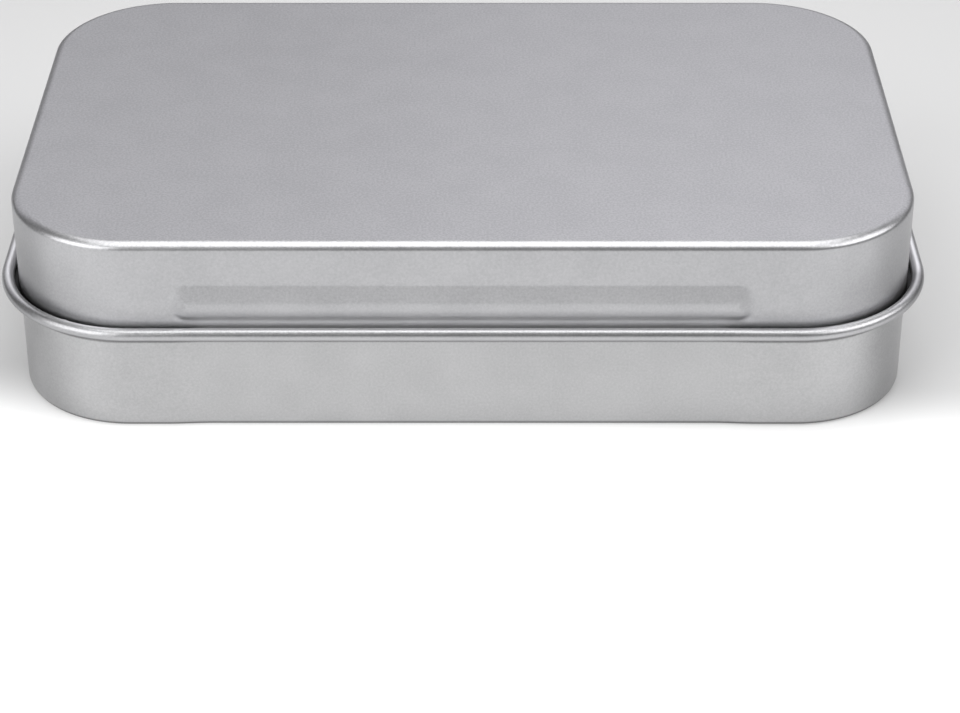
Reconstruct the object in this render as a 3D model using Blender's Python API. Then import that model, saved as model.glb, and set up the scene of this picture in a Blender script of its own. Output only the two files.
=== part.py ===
"""A shut tinplate box: a lid with a stamped rib and a curled edge, on a plain tray.

Metres, +Z up, the box standing on Z = 0. +X runs along its long sides, and -Y is its front.
A profile point is (out, up): out is measured from the face of the lid's wall, away from the box.
"""

from math import cos, pi, radians, sin, sqrt

import bmesh
import bpy
from mathutils import Vector

MM = 0.001

# Lid
LID_WIDTH = 91.7 * MM
LID_DEPTH = 58.8 * MM
LID_CORNER_RADIUS = 12.6 * MM
TOP_HEIGHT = 21.2 * MM

# Bends from the lid's wall over to its flat top: the radius of each, and the angle it ends at
TOP_BENDS = ((0.62 * MM, 47), (1.3 * MM, 80), (0.9 * MM, 90))

# The lid's edge is curled into a roll that stands off the wall, with an open channel behind it
ROLL_RADIUS = 0.65 * MM
ROLL_HEIGHT = 11.6 * MM
CHANNEL_WIDTH = 0.44 * MM

# Rib stamped outwards in the lid's front wall
RIB_LENGTH = 58.3 * MM
RIB_TOP = 16.7 * MM
RIB_CREST = 14.3 * MM
RIB_BOTTOM = 12.5 * MM
RIB_CREST_HALF = 0.05 * MM
RIB_UPPER_EASES = (0.06, 0.2)
RIB_LOWER_EASES = (0.2, 0.8)
RIB_PROUD = 0.33 * MM
RIB_END_RUN = 1.8 * MM
RIB_END_EASES = (0.2, 0.5)

# Tray
TRAY_INSET = 0.18 * MM
TRAY_CORNER_RADIUS = 11.95 * MM
FOOT_ROUNDING = 0.7 * MM

# The front of the tray and the face of the roll are pressed in a little along their middle
PANEL_WIDTH = 55.4 * MM
PANEL_STEP = 4.6 * MM
PANEL_DEPTH = 0.18 * MM
ROLL_PRESS_SHARE = 0.4

# Seat inside the box: a neck on the tray stands in a recess under the lid
GAP = 0.3 * MM
NECK_INSET = 0.9 * MM
NECK_RISE = 1.3 * MM

# Divisions of the curves
CORNER_STEPS = 12
BEND_STEPS = (4, 3, 1)
RIB_STEPS = 13
RIB_END_STEPS = 4
CHANNEL_STEPS = 6
ROLL_STEPS = 15
FOOT_STEPS = 4
SMOOTH_ANGLE = radians(35)

LID_COLOUR = (0.58, 0.58, 0.60, 1.0)
TRAY_COLOUR = (0.60, 0.60, 0.61, 1.0)
SATIN_ROUGHNESS = 0.3


def ease(share):
    """A smooth step from 0 to 1 as share runs from 0 to 1."""
    share = min(max(share, 0.0), 1.0)
    return share * share * (3 - 2 * share)


def flank(share, eases):
    """A slope from 0 at its foot to 1 at its crest, as share runs from 0 to 1. It steepens over
    the first of the eases and levels out over the second."""
    share = min(max(share, 0.0), 1.0)
    foot_ease, crest_ease = eases
    steepness = 1 / (1 - (foot_ease + crest_ease) / 2)
    if share < foot_ease:
        return steepness * share * share / (2 * foot_ease)
    if share > 1 - crest_ease:
        return 1 - steepness * (1 - share) ** 2 / (2 * crest_ease)
    return steepness * (share - foot_ease / 2)


def arc(centre, radius, start, stop, steps):
    """Profile points on an arc, with angles in degrees: 0 points out and 90 points up."""
    turns = (radians(start + (stop - start) * i / steps) for i in range(steps + 1))
    return [(centre[0] + radius * cos(t), centre[1] + radius * sin(t)) for t in turns]


def rib_proud(x, z):
    """How far the rib stands out of the lid's front wall. Its ends are rounded domes."""
    past_straight = max(abs(x) - (RIB_LENGTH / 2 - RIB_END_RUN), 0.0) / RIB_END_RUN
    edge, eases = (RIB_TOP, RIB_UPPER_EASES) if z > RIB_CREST else (RIB_BOTTOM, RIB_LOWER_EASES)
    flank_height = abs(edge - RIB_CREST) - RIB_CREST_HALF
    down_flank = max(abs(z - RIB_CREST) - RIB_CREST_HALF, 0.0) / flank_height
    from_crest = sqrt(past_straight**2 + down_flank**2)
    if from_crest == 0 or from_crest >= 1:
        return RIB_PROUD if from_crest == 0 else 0.0
    side_share = (down_flank / from_crest) ** 2
    side = side_share * flank(1 - from_crest, eases)
    return RIB_PROUD * (side + (1 - side_share) * flank(1 - from_crest, RIB_END_EASES))


def panel_press(x):
    """How far the front is pressed in: fully along its middle, and not at all by the corners."""
    return PANEL_DEPTH * ease((PANEL_WIDTH / 2 + PANEL_STEP / 2 - abs(x)) / PANEL_STEP)


def front_stations():
    """Places along the straight front where a shape begins, bends or ends, left to right."""
    rib_end = RIB_LENGTH / 2
    panel_end = PANEL_WIDTH / 2
    stations = {0.0, rib_end / 2, panel_end - PANEL_STEP / 2, panel_end + PANEL_STEP / 2}
    for i in range(RIB_END_STEPS + 1):
        stations.add(rib_end - RIB_END_RUN * i / RIB_END_STEPS)
    half = sorted(stations)
    return [-x for x in reversed(half[1:])] + half


def outline(corner_radius):
    """Points round the lid's wall, anticlockwise from the front's left end, with their normals."""
    half_width = LID_WIDTH / 2 - corner_radius
    half_depth = LID_DEPTH / 2 - corner_radius
    front = Vector((0, -1))
    points = [(Vector((x, -LID_DEPTH / 2)), front) for x in front_stations()]
    for quarter, (side_x, side_y) in enumerate(((1, -1), (1, 1), (-1, 1), (-1, -1))):
        centre = Vector((side_x * half_width, side_y * half_depth))
        for i in range(CORNER_STEPS + 1):
            turn = (quarter - 1 + i / CORNER_STEPS) * pi / 2
            normal = Vector((cos(turn), sin(turn)))
            points.append((centre + corner_radius * normal, normal))
    return points


def top_rounding():
    """The bends between the wall and the flat top, listed from the top downwards."""
    out, up, start = 0.0, 0.0, 0
    points = [(out, up)]
    for (radius, stop), steps in zip(TOP_BENDS, BEND_STEPS):
        centre = (out - radius * cos(radians(start)), up - radius * sin(radians(start)))
        points += arc(centre, radius, start, stop, steps)[1:]
        (out, up), start = points[-1], stop
    return [(out, up + TOP_HEIGHT - points[-1][1]) for out, up in reversed(points)]


def lid_profile():
    """From the rim of the flat top down the wall, round the channel and the roll, to the recess."""
    roll_centre = (CHANNEL_WIDTH + ROLL_RADIUS, ROLL_HEIGHT)
    underside = ROLL_HEIGHT - ROLL_RADIUS
    recess_out = GAP - NECK_INSET
    recess_up = underside + NECK_RISE
    rib_fall = (RIB_TOP - RIB_BOTTOM) / RIB_STEPS
    wall = [(0.0, RIB_TOP - rib_fall * i) for i in range(RIB_STEPS + 1)]
    channel = arc((CHANNEL_WIDTH / 2, ROLL_HEIGHT), CHANNEL_WIDTH / 2, 180, 360, CHANNEL_STEPS)
    roll = arc(roll_centre, ROLL_RADIUS, 180, -90, ROLL_STEPS)
    recess = [(recess_out, underside), (recess_out, recess_up)]
    return top_rounding() + wall + channel + roll[1:] + recess


def tray_profile():
    """From the neck's top over the shoulder and down the wall to the flat bottom."""
    shoulder = ROLL_HEIGHT - ROLL_RADIUS - GAP
    neck_top = shoulder + NECK_RISE
    neck = [(-NECK_INSET, neck_top), (-NECK_INSET, shoulder), (-TRAY_INSET, shoulder)]
    foot_centre = (-TRAY_INSET - FOOT_ROUNDING, FOOT_ROUNDING)
    return neck + arc(foot_centre, FOOT_ROUNDING, 0, -90, FOOT_STEPS)


def lid_point(place, normal, out, up):
    """A point of the lid: the rib swells the front wall, and the panel flattens the roll."""
    if normal.y == -1:
        roll_share = min(max(out - CHANNEL_WIDTH, 0.0) / (2 * ROLL_RADIUS), 1.0)
        out += rib_proud(place.x, up) - ROLL_PRESS_SHARE * roll_share * panel_press(place.x)
    flat = place + out * normal
    return Vector((flat.x, flat.y, up))


def tray_point(place, normal, out, up):
    """A point of the tray, whose whole front is pressed in along its middle."""
    if normal.y == -1:
        out -= panel_press(place.x)
    flat = place + out * normal
    return Vector((flat.x, flat.y, up))


def skin(name, round_box, profile, point_at):
    """One closed mesh whose rings follow the outline at each profile point, capped at both ends."""
    bm = bmesh.new()
    rings = []
    for out, up in profile:
        rings.append([bm.verts.new(point_at(place, normal, out, up)) for place, normal in round_box])
    count = len(round_box)
    for upper, lower in zip(rings, rings[1:]):
        for i in range(count):
            following = (i + 1) % count
            bm.faces.new((upper[i], lower[i], lower[following], upper[following]))
    bm.faces.new(rings[0])
    bm.faces.new(reversed(rings[-1]))
    mesh = bpy.data.meshes.new(name)
    bm.to_mesh(mesh)
    bm.free()
    mesh.shade_smooth()
    mesh.set_sharp_from_angle(angle=SMOOTH_ANGLE)
    return mesh


def satin_tinplate(name, colour):
    material = bpy.data.materials.new(name)
    material.use_nodes = True
    shader = material.node_tree.nodes["Principled BSDF"]
    shader.inputs["Base Color"].default_value = colour
    shader.inputs["Metallic"].default_value = 1.0
    shader.inputs["Roughness"].default_value = SATIN_ROUGHNESS
    return material


def add_part(name, mesh, material):
    mesh.materials.append(material)
    part = bpy.data.objects.new(name, mesh)
    bpy.context.scene.collection.objects.link(part)
    return part


def main():
    for old in list(bpy.data.objects):
        bpy.data.objects.remove(old)
    lid_metal = satin_tinplate("lid_tinplate", LID_COLOUR)
    tray_metal = satin_tinplate("tray_tinplate", TRAY_COLOUR)
    lid_mesh = skin("lid", outline(LID_CORNER_RADIUS), lid_profile(), lid_point)
    tray_mesh = skin("tray", outline(TRAY_CORNER_RADIUS), tray_profile(), tray_point)
    add_part("lid", lid_mesh, lid_metal)
    add_part("tray", tray_mesh, tray_metal)


main()
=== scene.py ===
from math import atan2, cos, pi, radians, sin, sqrt

import bmesh
import bpy
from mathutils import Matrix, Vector


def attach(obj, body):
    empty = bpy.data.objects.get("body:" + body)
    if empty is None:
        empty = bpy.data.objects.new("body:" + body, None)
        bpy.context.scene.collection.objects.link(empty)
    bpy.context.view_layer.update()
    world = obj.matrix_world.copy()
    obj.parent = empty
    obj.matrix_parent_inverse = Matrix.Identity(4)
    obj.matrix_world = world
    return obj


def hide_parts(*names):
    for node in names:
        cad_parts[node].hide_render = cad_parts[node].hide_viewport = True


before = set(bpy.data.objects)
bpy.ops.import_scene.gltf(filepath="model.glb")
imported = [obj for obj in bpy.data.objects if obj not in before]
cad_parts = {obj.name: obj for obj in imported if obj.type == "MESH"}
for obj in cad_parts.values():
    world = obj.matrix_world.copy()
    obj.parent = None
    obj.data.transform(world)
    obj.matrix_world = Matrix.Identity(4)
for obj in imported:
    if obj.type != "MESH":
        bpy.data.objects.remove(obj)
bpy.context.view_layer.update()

# A shut tinplate box: a lid with a stamped rib and a curled edge, on a plain tray.
# Metres, +Z up, the box standing on Z = 0. +X runs along its long sides, and -Y is its front.
# A profile point says how far out of the face of the lid's wall it is, and how far up.
# Painted shade and painted light are shares from 0 to 1. Where a wall faces sideways by a share, 0 is
# straight to the front or back, and 1 is straight to a side.

MM = 0.001

# Room for rounding errors where heights are compared
SLACK = 0.01 * MM

# Lid
LID_WIDTH = 91.7 * MM
LID_DEPTH = 58.8 * MM
LID_CORNER_RADIUS = 12.6 * MM
TOP_HEIGHT = 21.2 * MM
TOP_FLAT_MARGIN = 0.5 * MM

# Bends from the lid's wall over to its flat top: the radius of each, and the angle it ends at
TOP_BENDS = ((0.62 * MM, 47), (1.3 * MM, 80), (0.9 * MM, 90))

# The lid's edge, curled into a roll that stands off the wall, with an open channel behind it.
# Angles round the roll are in degrees: 0 points out of the box and 90 points up.
ROLL_RADIUS = 0.65 * MM
ROLL_HEIGHT = 11.6 * MM
ROLL_START = 225
ROLL_STOP = -90
CHANNEL_WIDTH = 0.44 * MM
CHANNEL_TOP = 11.75 * MM
CHANNEL_BOTTOM = 11.0 * MM

# The lid's inner face, close beside the tray's neck, darkened with painted shade
LID_INNER_OUT = -0.05 * MM
LID_INNER_TOP = 12.3 * MM
LID_INNER_CHAMFER = 0.1 * MM
LID_INNER_SHADE = 0.6

# Rib stamped outwards in the lid's front wall
RIB_LENGTH = 58.3 * MM
RIB_TOP = 16.7 * MM
RIB_CREST = 14.3 * MM
RIB_BOTTOM = 12.5 * MM
RIB_CREST_HALF = 0.05 * MM
RIB_UPPER_EASES = (0.06, 0.2)
RIB_LOWER_EASES = (0.2, 0.8)
RIB_PROUD = 0.33 * MM
RIB_END_RUN = 1.8 * MM
RIB_END_EASES = (0.2, 0.5)

# Tray, with a neck that is drawn in a little where it goes up inside the lid
TRAY_INSET = 0.18 * MM
TRAY_CORNER_RADIUS = 11.95 * MM
TRAY_TOP = 11.9 * MM
NECK_START = 9.7 * MM
NECK_RADIUS = 2.2 * MM
NECK_TILT = 20
FOOT_ROUNDING = 0.7 * MM
FOOT_FLAT_MARGIN = 0.5 * MM

# The front of the tray and of the roll is pressed in a little along its middle. The press also
# takes away a share of the channel's depth and of its shade.
PANEL_WIDTH = 55.4 * MM
PANEL_STEP = 4.6 * MM
PANEL_DEPTH = 0.18 * MM
ROLL_PRESS_SHARE = 0.4
CHANNEL_DEPTH_LOSS = 0.9
CHANNEL_SHADE_LOSS = 0.72

# A small nick in the roll's inner edge, by the front left corner
NICK_TURN = radians(28.5)
NICK_OUT = CHANNEL_WIDTH + 0.3 * ROLL_RADIUS
NICK_HALF_LENGTH = 0.22 * MM
NICK_HALF_WIDTH = 0.5 * ROLL_RADIUS
NICK_HEIGHT = 0.07 * MM

# Shade down the channel, round the roll's inner edge, and under its face
CHANNEL_SHADE_DEPTH = 0.6 * MM
ROLL_INNER_SHADE_START = 165
ROLL_INNER_SHADE_TURN = 50
ROLL_UNDER_SHADE = 0.6
ROLL_UNDER_SHADE_START = -20
ROLL_UNDER_SHADE_TURN = 30

# Where the front is pressed, a line of painted shade runs along the wall just above the channel, and
# another along the face of the roll, 1.83 mm round it from the line that faces the wall
SHADE_LINE_TOP = 12.17 * MM
SHADE_LINE_RUN = 0.22 * MM
SHADE_LINE_STRENGTH = 0.38
ROLL_SHADE_LINE = 1.83
ROLL_SHADE_LINE_REACH = 0.22
ROLL_SHADE_LINE_STRENGTH = 0.3

# Painted light where the front is pressed, on the wall above the channel and on the top of the roll,
# and a fainter and lower band of painted light on the rest of the wall
PAINTED_LIGHT_TOP = 13.3 * MM
PAINTED_LIGHT_RUN = 0.6 * MM
WALL_PAINTED_LIGHT = 0.5
ROLL_PAINTED_LIGHT_START = 60
ROLL_PAINTED_LIGHT_TURN = 35
SIDE_PAINTED_LIGHT = 0.2
SIDE_PAINTED_LIGHT_TOP = 12.5 * MM
SIDE_PAINTED_LIGHT_RUN = 0.4 * MM

# Shade on the rib's ends, on the tray's neck under the roll, and round the foot, where it starts
# and grows by shares of the foot's quarter turn
RIB_END_SHADE = 0.13
RIB_END_SHADE_GROWTH = 2.2
NECK_SHADE = 0.55
NECK_SHADE_START = 9.8 * MM
NECK_SHADE_RUN = 0.22 * MM
FOOT_SHADE = 0.8
FOOT_SHADE_START = 0.06
FOOT_SHADE_RUN = 0.36

# Painted shade round the corners of the lid's wall, which grows downwards and fades out at the channel
WALL_CORNER_SHADE = 0.21
WALL_CORNER_SHADE_SIDEWAYS = 0.6
WALL_CORNER_SHADE_TOP = 20.0 * MM
WALL_CORNER_SHADE_GROWTH = 5.5 * MM
WALL_CORNER_SHADE_BOTTOM = 12.0 * MM
WALL_CORNER_SHADE_FADE = 1.0 * MM

# Painted shade round the corners of the roll: how strong, how far sideways it starts, over what share
# it grows, and over what share it fades out towards the side
ROLL_CORNER_SHADE_LEFT = (0.17, 0.05, 0.4, 0.1)
ROLL_CORNER_SHADE_RIGHT = (0.4, 0.75, 0.2, 0.02)

# Painted shade round the corners of the tray: how strong, and the turn in degrees where it is strongest
TRAY_CORNER_SHADE_LEFT = (0.17, 38)
TRAY_CORNER_SHADE_RIGHT = (0.13, 48)
TRAY_CORNER_SHADE_REACH = 25

# Patterns of satin tinplate: how many times each repeats in a millimetre, how many finer layers
# it has, and how strong those are. The lines are drawn out along the roll.
GRAIN = (4.2, 2.0, 0.65)
CLOUDS = (0.22, 3.0, 0.5)
LINES = (1.0, 2.0, 0.6)
LINES_ALONG_PER_MM = 0.22
LINES_ACROSS_PER_MM = 11.0

# How far each pattern moves the tone, the roughness and the height of the metal
GRAIN_TONE = 1.9
FLAT_GRAIN_TONE = 3.0
LINE_TONE = 0.8
SATIN_ROUGHNESS = 0.36
CLOUD_ROUGHNESS = 0.05
GRAIN_ROUGHNESS = 0.04
ROUNDED_POLISH = 0.018
ROLLED_GRAIN_LOSS = 0.5
LINE_HEIGHT = 1.6
RELIEF = 0.0008 * MM
LID_TONES = ((0.38, 0.38, 0.39, 1.0), (0.46, 0.46, 0.47, 1.0))
TRAY_TONES = ((0.38, 0.38, 0.385, 1.0), (0.46, 0.46, 0.465, 1.0))
# The near-white that painted light blends the metal towards
PAINTED_LIGHT_TONE = (0.86, 0.86, 0.87, 1.0)
# The near-black that painted shade blends the metal towards
PAINTED_SHADE_TONE = (0.02, 0.02, 0.02, 1.0)

# The floor glows faintly all over, and more in a pool in front of the box, which lights the walls
# from below and is stronger off to the sides, by the foot and at the right corner. Places are in
# millimetres from the middle of the box. A pair is where part of the glow begins and is full.
FLOOR_HALF = 2.0
FLOOR_TONE = (0.5, 0.5, 0.5, 1.0)
FLOOR_ROUGHNESS = 0.9
FLOOR_SHINE = 0.1
FLOOR_GLOW = 0.518
FAINT_SHARE = 0.2
POOL_SHARE = 0.82
POOL_AHEAD = 60
POOL_HALF_WIDTH = 260
POOL_HALF_DEPTH = 170
POOL_NEARNESS = (0.35, 0.78)
POOL_FORWARD = (16, 33)
POOL_RIGHT = (0, 50)
POOL_RIGHT_SHIFT = 5
SIDES_SHARE = 0.18
SIDES_SQUARED = (33.0**2, 52.0**2)
FOOT_SHARE = 0.28
FOOT_BACKWARD = (-42, -30)
CORNER_SHARE = 0.2
CORNER_INNER = (35, 42)
CORNER_OUTER = (-54, -46)
CORNER_BACKWARD = (-48, -36)
NO_GLOW = (0.0, 0.0, 0.0, 1.0)
MOST_GLOW = (2.0, 2.0, 2.0, 1.0)
MOST_GLOW_STRENGTH = 2

# Light and camera
WHITE = (1.0, 1.0, 1.0)
COOL_WHITE = (0.96, 0.95, 1.0)
ROOM_TONE = (0.22, 0.22, 0.22, 1.0)
CAMERA_PLACE = (1.746 * MM, -260.44 * MM, 148.85 * MM)
CAMERA_LENS = 101.25
CAMERA_TILT = 31.29

# Divisions of the curves
CORNER_STEPS = 44
STRAIGHT_STEPS = 24
FRONT_STEPS = 56
FRONT_END_STEPS = 8
BEND_STEPS = (9, 9, 3)
WALL_STEPS = 6
LOW_WALL_STEPS = 12
RIB_STEPS = 32
RIB_END_STEPS = 22
CHANNEL_STEPS = 14
ROLL_STEPS = 44
FOOT_STEPS = 12
NECK_STEPS = 14
SHARP_ANGLE = radians(50)

# What each point of a piece carries for its finish: how far it was bent over an edge, whether it is on
# the roll, how many millimetres round the roll it is, its painted light, and its painted shade
MARKS = ("rounded", "rolled", "across", "painted_light", "painted_shade")


def ease(share):
    """A smooth step from 0 to 1 as share runs from 0 to 1."""
    share = min(max(share, 0.0), 1.0)
    return share * share * (3 - 2 * share)


def spread(start, stop, steps):
    """Evenly spaced numbers from start to stop, both included."""
    return [start + (stop - start) * i / steps for i in range(steps + 1)]


def flank(share, eases):
    """A slope from 0 at its foot to 1 at its crest, as share runs from 0 to 1. It steepens over
    the first of the eases and levels out over the second."""
    share = min(max(share, 0.0), 1.0)
    foot_ease, crest_ease = eases
    steepness = 1 / (1 - (foot_ease + crest_ease) / 2)
    if share < foot_ease:
        return steepness * share * share / (2 * foot_ease)
    if share > 1 - crest_ease:
        return 1 - steepness * (1 - share) ** 2 / (2 * crest_ease)
    return steepness * (share - foot_ease / 2)


def arc(centre, radius, start, stop, steps):
    """Profile points on an arc, with angles in degrees: 0 points out and 90 points up."""
    turns = [radians(angle) for angle in spread(start, stop, steps)]
    return [(centre[0] + radius * cos(t), centre[1] + radius * sin(t)) for t in turns]


def rib_place(x, z):
    """Where a point of the front wall is on the rib: how far from its crest to its edge, from 0 to
    1, and how far down a side that is rather than along towards an end, from 0 to 1."""
    past_straight = max(abs(x) - (RIB_LENGTH / 2 - RIB_END_RUN), 0.0) / RIB_END_RUN
    edge = RIB_TOP if z > RIB_CREST else RIB_BOTTOM
    flank_height = abs(edge - RIB_CREST) - RIB_CREST_HALF
    down_flank = max(abs(z - RIB_CREST) - RIB_CREST_HALF, 0.0) / flank_height
    from_crest = sqrt(past_straight**2 + down_flank**2)
    return from_crest, (down_flank / from_crest) ** 2 if from_crest else 1.0


def rib_proud(x, z):
    """How far the rib stands out of the lid's front wall. Its ends are rounded domes."""
    from_crest, side_share = rib_place(x, z)
    if from_crest >= 1:
        return 0.0
    eases = RIB_UPPER_EASES if z > RIB_CREST else RIB_LOWER_EASES
    side = side_share * flank(1 - from_crest, eases)
    return RIB_PROUD * (side + (1 - side_share) * flank(1 - from_crest, RIB_END_EASES))


def panel_press(x):
    """How far the front is pressed in: fully along its middle, and not at all by the corners."""
    return PANEL_DEPTH * ease((PANEL_WIDTH / 2 + PANEL_STEP / 2 - abs(x)) / PANEL_STEP)


def pressed_share(place, normal):
    """How much of the front's press reaches a place of the wall, from 0 to 1."""
    return panel_press(place.x) / PANEL_DEPTH if normal.y == -1 else 0.0


def front_stations(half_width):
    """Places along the straight front, left to right, closer together at the rib's ends."""
    rib_end = RIB_LENGTH / 2
    half = spread(0, rib_end - RIB_END_RUN, FRONT_STEPS)[:-1]
    half += spread(rib_end - RIB_END_RUN, rib_end, RIB_END_STEPS)[:-1]
    half += spread(rib_end, half_width, FRONT_END_STEPS)
    return [-x for x in reversed(half[1:])] + half


def outline(corner_radius):
    """Points round the lid's wall, anticlockwise from the front's left end, with their normals."""
    half_width = LID_WIDTH / 2 - corner_radius
    half_depth = LID_DEPTH / 2 - corner_radius
    front = Vector((0, -1))
    points = [(Vector((x, -LID_DEPTH / 2)), front) for x in front_stations(half_width)[:-1]]
    corners = ((1, -1), (1, 1), (-1, 1), (-1, -1))
    for quarter, (side_x, side_y) in enumerate(corners):
        centre = Vector((side_x * half_width, side_y * half_depth))
        for turn in spread((quarter - 1) * pi / 2, quarter * pi / 2, CORNER_STEPS):
            normal = Vector((cos(turn), sin(turn)))
            points.append((centre + corner_radius * normal, normal))
        if quarter < 3:
            start, facing = points[-1]
            next_x, next_y = corners[quarter + 1]
            stop = Vector((next_x * half_width, next_y * half_depth)) + corner_radius * facing
            for share in spread(0, 1, STRAIGHT_STEPS)[1:-1]:
                points.append((start.lerp(stop, share), facing))
    return points[:-1]


def marked(out, up, rounded=0.0, rolled=0.0, across=0.0, painted_light=0.0, painted_shade=0.0):
    """A profile point with its marks, in the order of MARKS."""
    return out, up, rounded, rolled, across, painted_light, painted_shade


def top_rounding():
    """The bends between the flat top and the wall, from the top down, marked as rounded."""
    out, up, start = 0.0, 0.0, 0
    points = [(out, up, 0.0)]
    for (radius, stop), steps in zip(TOP_BENDS, BEND_STEPS):
        centre = (out - radius * cos(radians(start)), up - radius * sin(radians(start)))
        bend = arc(centre, radius, start, stop, steps)
        for (out, up), angle in list(zip(bend, spread(start, stop, steps)))[1:]:
            points.append((out, up, sin(radians(2 * angle))))
        start = stop
    drop = TOP_HEIGHT - up
    return [marked(out, up + drop, rounded=bent) for out, up, bent in reversed(points)]


def roll_rounding():
    """Round the roll, from inside the channel over its top and down its face to its underside."""
    centre = (CHANNEL_WIDTH + ROLL_RADIUS, ROLL_HEIGHT)
    curve = arc(centre, ROLL_RADIUS, ROLL_START, ROLL_STOP, ROLL_STEPS)
    points = []
    for (out, up), angle in zip(curve, spread(ROLL_START, ROLL_STOP, ROLL_STEPS)):
        across = radians(180 - angle) * ROLL_RADIUS / MM
        # Painted light over the roll's top, and painted shade round its inner edge and under its face
        painted_light = ease((angle - ROLL_PAINTED_LIGHT_START) / ROLL_PAINTED_LIGHT_TURN)
        inner = ease((angle - ROLL_INNER_SHADE_START) / ROLL_INNER_SHADE_TURN)
        under = ROLL_UNDER_SHADE * ease((ROLL_UNDER_SHADE_START - angle) / ROLL_UNDER_SHADE_TURN)
        points.append(marked(out, up, 0.0, 1.0, across, painted_light, inner + under))
    return points


def lid_profile():
    """From the flat top over its rim, down the wall, round the channel and the roll, and inside."""
    rim = top_rounding()
    profile = [marked(rim[0][0] - TOP_FLAT_MARGIN, TOP_HEIGHT)] + rim
    profile += [marked(0.0, up) for up in spread(rim[-1][1], RIB_TOP, WALL_STEPS)[1:-1]]
    profile += [marked(0.0, up) for up in spread(RIB_TOP, PAINTED_LIGHT_TOP, RIB_STEPS)[:-1]]
    # Painted light on the wall low down, and painted shade down the channel
    for up in spread(PAINTED_LIGHT_TOP, CHANNEL_TOP, LOW_WALL_STEPS):
        painted_light = WALL_PAINTED_LIGHT * ease((PAINTED_LIGHT_TOP - up) / PAINTED_LIGHT_RUN)
        profile.append(marked(0.0, up, painted_light=painted_light))
    for up in spread(CHANNEL_TOP, CHANNEL_BOTTOM, CHANNEL_STEPS)[1:]:
        painted_shade = ease((CHANNEL_TOP - up) / CHANNEL_SHADE_DEPTH)
        profile.append(marked(0.0, up, painted_light=WALL_PAINTED_LIGHT, painted_shade=painted_shade))
    profile += roll_rounding()
    underside = ROLL_HEIGHT - ROLL_RADIUS
    inside = [(LID_INNER_OUT + LID_INNER_CHAMFER, underside)]
    inside.append((LID_INNER_OUT, underside + LID_INNER_CHAMFER))
    inside.append((LID_INNER_OUT, LID_INNER_TOP))
    return profile + [marked(out, up, painted_shade=LID_INNER_SHADE) for out, up in inside]


def tray_profile():
    """From inside the lid down the neck and the wall and round the foot to the flat bottom."""
    neck_centre = (-TRAY_INSET - NECK_RADIUS, NECK_START)
    # Painted shade on the neck under the roll and round the foot
    neck = []
    for out, up in arc(neck_centre, NECK_RADIUS, NECK_TILT, 0, NECK_STEPS):
        painted_shade = NECK_SHADE * ease((up - NECK_SHADE_START) / NECK_SHADE_RUN)
        neck.append(marked(out, up, painted_shade=painted_shade))
    top = marked(neck[0][0], TRAY_TOP, painted_shade=NECK_SHADE)
    wall = [marked(-TRAY_INSET, up) for up in spread(NECK_START, FOOT_ROUNDING, WALL_STEPS)[1:-1]]
    foot_centre = (-TRAY_INSET - FOOT_ROUNDING, FOOT_ROUNDING)
    foot = []
    for i, (out, up) in enumerate(arc(foot_centre, FOOT_ROUNDING, 0, -90, FOOT_STEPS)):
        turned = i / FOOT_STEPS
        painted_shade = FOOT_SHADE * ease((turned - FOOT_SHADE_START) / FOOT_SHADE_RUN)
        foot.append(marked(out, up, rounded=sin(pi * turned), painted_shade=painted_shade))
    bottom = marked(foot_centre[0] - FOOT_FLAT_MARGIN, 0.0)
    return [top] + neck + wall + foot + [bottom]


def nick_in(normal, out, up):
    """How far the small nick throws up the roll's inner edge at a point of the roll."""
    if normal.x >= 0 or up < ROLL_HEIGHT:
        return 0.0
    along = abs(atan2(-normal.x, -normal.y) - NICK_TURN) * LID_CORNER_RADIUS
    beside = abs(out - NICK_OUT)
    return NICK_HEIGHT * ease(1 - along / NICK_HALF_LENGTH) * ease(1 - beside / NICK_HALF_WIDTH)


def lid_point(place, normal, out, up):
    """A point of the lid: the rib swells the front wall, and the press flattens the face of the
    roll and makes the channel shallow."""
    if normal.y == -1:
        roll_share = min(max(out - CHANNEL_WIDTH, 0.0) / (2 * ROLL_RADIUS), 1.0)
        out += rib_proud(place.x, up) - ROLL_PRESS_SHARE * roll_share * panel_press(place.x)
    in_channel = 0 <= out < CHANNEL_WIDTH + ROLL_RADIUS
    if in_channel and CHANNEL_BOTTOM - SLACK < up < CHANNEL_TOP:
        depth_share = 1 - CHANNEL_DEPTH_LOSS * pressed_share(place, normal)
        up = CHANNEL_TOP - (CHANNEL_TOP - up) * depth_share
    up += nick_in(normal, out, up)
    flat = place + out * normal
    return Vector((flat.x, flat.y, up))


def tray_point(place, normal, out, up):
    """A point of the tray, whose whole front is pressed in along its middle."""
    if normal.y == -1:
        out -= panel_press(place.x)
    flat = place + out * normal
    return Vector((flat.x, flat.y, up))


def roll_corner_shade(sideways, corner):
    """How much painted shade the roll carries round a corner, from how far sideways it faces there."""
    strength, start, growth, fade = corner
    return strength * ease((sideways - start) / growth) * ease((1 - sideways) / fade)


def wall_corner_shade(normal, up):
    """How much painted shade the lid's wall carries round a corner."""
    round_corner = ease(abs(normal.x) / WALL_CORNER_SHADE_SIDEWAYS)
    grown = ease((WALL_CORNER_SHADE_TOP - up) / WALL_CORNER_SHADE_GROWTH)
    faded = ease((up - WALL_CORNER_SHADE_BOTTOM) / WALL_CORNER_SHADE_FADE)
    return round_corner * WALL_CORNER_SHADE * grown * faded


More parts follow.
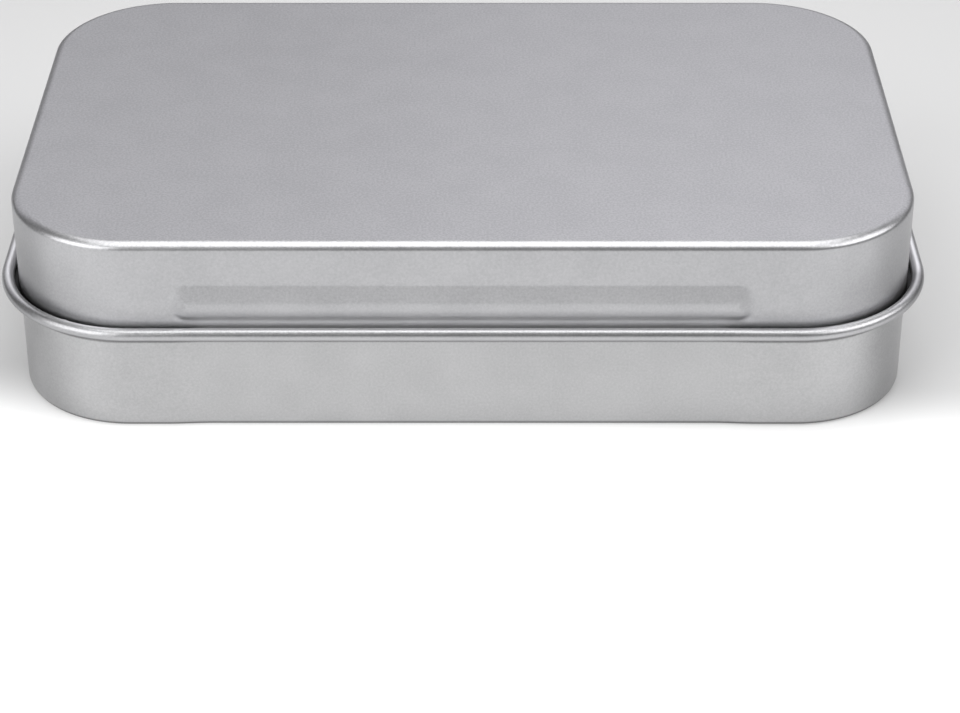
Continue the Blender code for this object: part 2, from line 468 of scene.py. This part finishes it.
def lid_marks(place, normal, out, up, marks):
    """The marks of a point of the lid, with painted shade along lines where the front is pressed, on
    its rib's ends and round its corners, and painted light on its wall.
    """
    rounded, rolled, across, painted_light, painted_shade = marks
    if up < CHANNEL_BOTTOM - SLACK or rounded:
        return marks
    pressed = pressed_share(place, normal)
    painted_shade *= 1 - CHANNEL_SHADE_LOSS * pressed
    if rolled:
        from_shade_line = abs(across - ROLL_SHADE_LINE) / ROLL_SHADE_LINE_REACH
        painted_shade += ROLL_SHADE_LINE_STRENGTH * pressed * ease(1 - from_shade_line)
        painted_shade += roll_corner_shade(normal.x, ROLL_CORNER_SHADE_RIGHT)
        painted_shade += roll_corner_shade(-normal.x, ROLL_CORNER_SHADE_LEFT)
    elif out == 0:
        # Painted light on the wall: a band above the channel where the front is pressed, and a fainter
        # and lower one elsewhere
        side_painted_light = SIDE_PAINTED_LIGHT * ease((SIDE_PAINTED_LIGHT_TOP - up) / SIDE_PAINTED_LIGHT_RUN)
        painted_light = painted_light * pressed + side_painted_light * (1 - pressed)
        painted_shade += SHADE_LINE_STRENGTH * pressed * ease((SHADE_LINE_TOP - up) / SHADE_LINE_RUN)
        if normal.y == -1:
            from_crest, side_share = rib_place(place.x, up)
            end_share = (1 - side_share) * ease((1 - from_crest) * RIB_END_SHADE_GROWTH)
            painted_shade += RIB_END_SHADE * end_share
        painted_shade += wall_corner_shade(normal, up)
    return rounded, rolled, across, painted_light, min(painted_shade, 1.0)


def tray_marks(place, normal, out, up, marks):
    """The marks of a point of the tray, with a little painted shade round the corners."""
    strength, middle = TRAY_CORNER_SHADE_LEFT if normal.x < 0 else TRAY_CORNER_SHADE_RIGHT
    from_middle = abs(atan2(abs(normal.x), abs(normal.y)) - radians(middle))
    tray_corner_shade = strength * ease(1 - from_middle / radians(TRAY_CORNER_SHADE_REACH))
    return (*marks[:-1], min(marks[-1] + tray_corner_shade, 1.0))


def skin(name, round_box, profile, point_at, marks_at):
    """One closed piece whose rings follow the outline at each profile point, capped at both ends."""
    bm = bmesh.new()
    marks = [bm.verts.layers.float.new(mark) for mark in MARKS]
    rings = []
    for out, up, *values in profile:
        ring = []
        for place, normal in round_box:
            vert = bm.verts.new(point_at(place, normal, out, up))
            for mark, value in zip(marks, marks_at(place, normal, out, up, values)):
                vert[mark] = value
            ring.append(vert)
        rings.append(ring)
    count = len(round_box)
    for upper, lower in zip(rings, rings[1:]):
        for i in range(count):
            following = (i + 1) % count
            bm.faces.new((upper[i], lower[i], lower[following], upper[following]))
    bm.faces.new(rings[0])
    bm.faces.new(reversed(rings[-1]))
    mesh = bpy.data.meshes.new(name)
    bm.to_mesh(mesh)
    bm.free()
    mesh.shade_smooth()
    mesh.set_sharp_from_angle(angle=SHARP_ANGLE)
    piece = bpy.data.objects.new(name, mesh)
    bpy.context.scene.collection.objects.link(piece)
    return piece


class Value:
    """A socket that shader maths is written with: each operator adds the Math node it stands for."""

    def __init__(self, socket):
        self.socket = socket

    def _math(self, operation, first, second):
        node = self.socket.node.id_data.nodes.new("ShaderNodeMath")
        node.operation = operation
        for slot, given in zip(node.inputs, (first, second)):
            feed(slot, given)
        return Value(node.outputs[0])

    def __add__(self, other):
        return self._math("ADD", self, other)

    def __radd__(self, other):
        return self._math("ADD", other, self)

    def __sub__(self, other):
        return self._math("SUBTRACT", self, other)

    def __rsub__(self, other):
        return self._math("SUBTRACT", other, self)

    def __mul__(self, other):
        return self._math("MULTIPLY", self, other)

    def __rmul__(self, other):
        return self._math("MULTIPLY", other, self)


def feed(slot, given):
    """Links a value to a node's slot, or sets the slot to a plain number, colour or vector."""
    if isinstance(given, Value):
        given.socket.node.id_data.links.new(given.socket, slot)
    else:
        slot.default_value = given


class Finish:
    """A material that is built up node by node round its Principled shader."""

    def __init__(self, name):
        self.material = bpy.data.materials.new(name)
        self.material.use_nodes = True
        self.shader = self.material.node_tree.nodes["Principled BSDF"]

    def surface(self, slots):
        """Feeds the shader's own slots."""
        for slot, given in slots.items():
            feed(self.shader.inputs[slot], given)

    def node(self, kind, settings, slots, result=0):
        """Adds a node. Its settings are set first, then its slots, each by its name or number."""
        node = self.material.node_tree.nodes.new(kind)
        for setting, value in settings.items():
            setattr(node, setting, value)
        for slot, given in slots.items():
            feed(node.inputs[slot], given)
        return Value(node.outputs[result])

    def mark(self, name):
        """What the piece's mesh says at each point under that name."""
        return self.node("ShaderNodeAttribute", {"attribute_name": name}, {}, "Fac")

    def place(self):
        """Where a point of the piece is, in millimetres."""
        metres = self.node("ShaderNodeTexCoord", {}, {}, "Object")
        return self.vector("MULTIPLY", metres, (1 / MM, 1 / MM, 1 / MM))

    def vector(self, operation, first, second):
        """A vector worked out of two others."""
        return self.node("ShaderNodeVectorMath", {"operation": operation}, {0: first, 1: second})

    def along(self, vector, axis):
        """One of the three numbers of a vector."""
        return self.node("ShaderNodeSeparateXYZ", {}, {"Vector": vector}, axis)

    def noise(self, vector, pattern):
        """Soft random spots, from 0 to 1."""
        per_mm, layers, strength = pattern
        slots = {"Vector": vector, "Scale": per_mm, "Detail": layers, "Roughness": strength}
        return self.node("ShaderNodeTexNoise", {}, slots)

    def ramp(self, value, start, stop):
        """A smooth step from 0 to 1 as value runs from start to stop."""
        slots = {"Value": value, "From Min": start, "From Max": stop}
        return self.node("ShaderNodeMapRange", {"interpolation_type": "SMOOTHSTEP"}, slots)

    def blend(self, share, first, second):
        """A colour between first and second."""
        slots = {"Factor": share, 6: first, 7: second}
        return self.node("ShaderNodeMix", {"data_type": "RGBA"}, slots, 2)


def drawn_lines(finish, place):
    """Fine lines that run along the roll, where the metal was drawn over the curling tool."""
    slow = finish.vector("MULTIPLY", place, (LINES_ALONG_PER_MM, LINES_ALONG_PER_MM, 0.0))
    level = finish.node("ShaderNodeCombineXYZ", {}, {"Z": finish.mark("across") * LINES_ACROSS_PER_MM})
    return finish.noise(finish.vector("ADD", slow, level), LINES)


def satin_tinplate(name, tones):
    """Bare satin tinplate: fine matt grain, faint clouding, and a smoother drawn-out metal where
    it was bent round an edge or curled into the roll, which also carries fine lines along it."""
    finish = Finish(name)
    place = finish.place()
    rounded = finish.mark("rounded")
    rolled = finish.mark("rolled")
    grain = finish.noise(place, GRAIN)
    clouds = finish.noise(place, CLOUDS)
    lines = drawn_lines(finish, place)
    upward = finish.along(finish.node("ShaderNodeNewGeometry", {}, {}, "Normal"), "Z")

    tone = 0.5 + (grain - 0.5) * (GRAIN_TONE + upward * FLAT_GRAIN_TONE)
    tone = tone + (clouds - 0.5) + rolled * (lines - 0.5) * LINE_TONE
    metal = finish.blend(tone, *tones)
    # Painted light lightens the metal where its mark says
    metal = finish.blend(finish.mark("painted_light"), metal, PAINTED_LIGHT_TONE)
    rough = SATIN_ROUGHNESS + (clouds - 0.5) * CLOUD_ROUGHNESS
    rough = rough + (grain - 0.5) * GRAIN_ROUGHNESS - rounded * ROUNDED_POLISH
    height = grain * (1 - rolled * ROLLED_GRAIN_LOSS) + rolled * (lines - 0.5) * LINE_HEIGHT
    finish.surface({
        "Metallic": 1.0,
        # Painted shade darkens the metal where its mark says
        "Base Color": finish.blend(finish.mark("painted_shade"), metal, PAINTED_SHADE_TONE),
        "Roughness": rough,
        "Normal": finish.node("ShaderNodeBump", {}, {"Distance": RELIEF, "Height": height}),
    })
    return finish.material


def floor_glow(finish):
    """How strongly the floor glows, where 1 is full."""
    place = finish.place()
    across = finish.along(place, "X")
    back = finish.along(place, "Y")
    spot = finish.node("ShaderNodeMapping", {}, {
        "Vector": place,
        "Location": (0, POOL_AHEAD / POOL_HALF_DEPTH, 0),
        "Scale": (1 / POOL_HALF_WIDTH, 1 / POOL_HALF_DEPTH, 0),
    })
    near = finish.node("ShaderNodeTexGradient", {"gradient_type": "SPHERICAL"}, {"Vector": spot}, "Fac")
    forward = back * -1 - finish.ramp(across, *POOL_RIGHT) * POOL_RIGHT_SHIFT
    pool = finish.ramp(near, *POOL_NEARNESS) * finish.ramp(forward, *POOL_FORWARD)
    sides = finish.ramp(across * across, *SIDES_SQUARED)
    foot = finish.ramp(back, *FOOT_BACKWARD)
    corner = finish.ramp(across, *CORNER_INNER) * finish.ramp(across * -1, *CORNER_OUTER)
    corner = corner * finish.ramp(back, *CORNER_BACKWARD)
    pool = pool * (1 + sides * SIDES_SHARE + foot * FOOT_SHARE + corner * CORNER_SHARE)
    return FAINT_SHARE + pool * POOL_SHARE


def pale_floor():
    """A wide plain matt floor that glows in front of the box."""
    mesh = bpy.data.meshes.new("floor")
    corners = [(x * FLOOR_HALF, y * FLOOR_HALF, 0) for x, y in ((-1, -1), (1, -1), (1, 1), (-1, 1))]
    mesh.from_pydata(corners, [], [(0, 1, 2, 3)])
    floor = bpy.data.objects.new("floor", mesh)
    bpy.context.scene.collection.objects.link(floor)
    finish = Finish("pale_floor")
    glow_share = floor_glow(finish) * (1 / MOST_GLOW_STRENGTH)
    finish.surface({
        "Base Color": FLOOR_TONE,
        "Roughness": FLOOR_ROUGHNESS,
        "Specular IOR Level": FLOOR_SHINE,
        "Emission Strength": FLOOR_GLOW,
        "Emission Color": finish.blend(glow_share, NO_GLOW, MOST_GLOW),
    })
    mesh.materials.append(finish.material)


def soft_light(name, place, aim, width, height, radiance, colour=WHITE):
    """A rectangular softbox at place that faces aim."""
    data = bpy.data.lights.new(name, "AREA")
    data.shape = "RECTANGLE"
    data.size = width
    data.size_y = height
    data.energy = radiance * pi * width * height
    data.color = colour
    lamp = bpy.data.objects.new(name, data)
    lamp.location = place
    lamp.rotation_euler = (Vector(aim) - Vector(place)).to_track_quat("-Z", "Y").to_euler()
    bpy.context.scene.collection.objects.link(lamp)


def studio():
    """Plain soft studio light: a softbox overhead, one on each side, a wide one behind with a
    fainter one to its right, a faint one in front, and a dim grey room."""
    soft_light(
        "overhead", place=(0.0, -0.0125, 0.20), aim=(0.0, -0.0125, 0.0),
        width=0.22, height=0.195, radiance=2.7,
    )
    soft_light(
        "left", place=(-0.346, -0.292, 0.217), aim=(-0.04, -0.03, 0.02),
        width=0.42, height=0.46, radiance=2.9,
    )
    soft_light(
        "right", place=(0.356, -0.140, 0.300), aim=(0.04, -0.03, 0.02),
        width=0.48, height=0.29, radiance=3.0,
    )
    soft_light(
        "behind", place=(-0.035, 0.45, 0.3375), aim=(-0.035, 0.0, 0.3375),
        width=1.17, height=0.325, radiance=0.865, colour=COOL_WHITE,
    )
    soft_light(
        "behind_right", place=(0.30, 0.47, 0.3375), aim=(0.30, 0.0, 0.3375),
        width=0.62, height=0.325, radiance=0.27, colour=COOL_WHITE,
    )
    soft_light(
        "front_fill", place=(-0.35, -0.7, 0.22), aim=(-0.35, 0.0, 0.22),
        width=0.9, height=0.44, radiance=0.12,
    )
    world = bpy.data.worlds.new("room")
    world.use_nodes = True
    world.node_tree.nodes["Background"].inputs["Color"].default_value = ROOM_TONE
    bpy.context.scene.world = world
    bpy.context.scene.view_settings.view_transform = "Standard"


def camera():
    """A camera in front of the box that looks down at it."""
    data = bpy.data.cameras.new("camera")
    data.sensor_width = 36.0
    data.lens = CAMERA_LENS
    data.clip_start = 0.01
    eye = bpy.data.objects.new("camera", data)
    eye.location = CAMERA_PLACE
    eye.rotation_euler = (radians(90 - CAMERA_TILT), 0, 0)
    bpy.context.scene.collection.objects.link(eye)
    bpy.context.scene.camera = eye


def main():
    lid = skin("lid_shell", outline(LID_CORNER_RADIUS), lid_profile(), lid_point, lid_marks)
    lid.data.materials.append(satin_tinplate("lid_satin", LID_TONES))
    tray = skin("tray_shell", outline(TRAY_CORNER_RADIUS), tray_profile(), tray_point, tray_marks)
    tray.data.materials.append(satin_tinplate("tray_satin", TRAY_TONES))
    for piece, node, slot in ((lid, "lid", "lid_tinplate"), (tray, "tray", "tray_tinplate")):
        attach(piece, "root")
        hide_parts(node)
    pale_floor()
    studio()
    camera()


main()
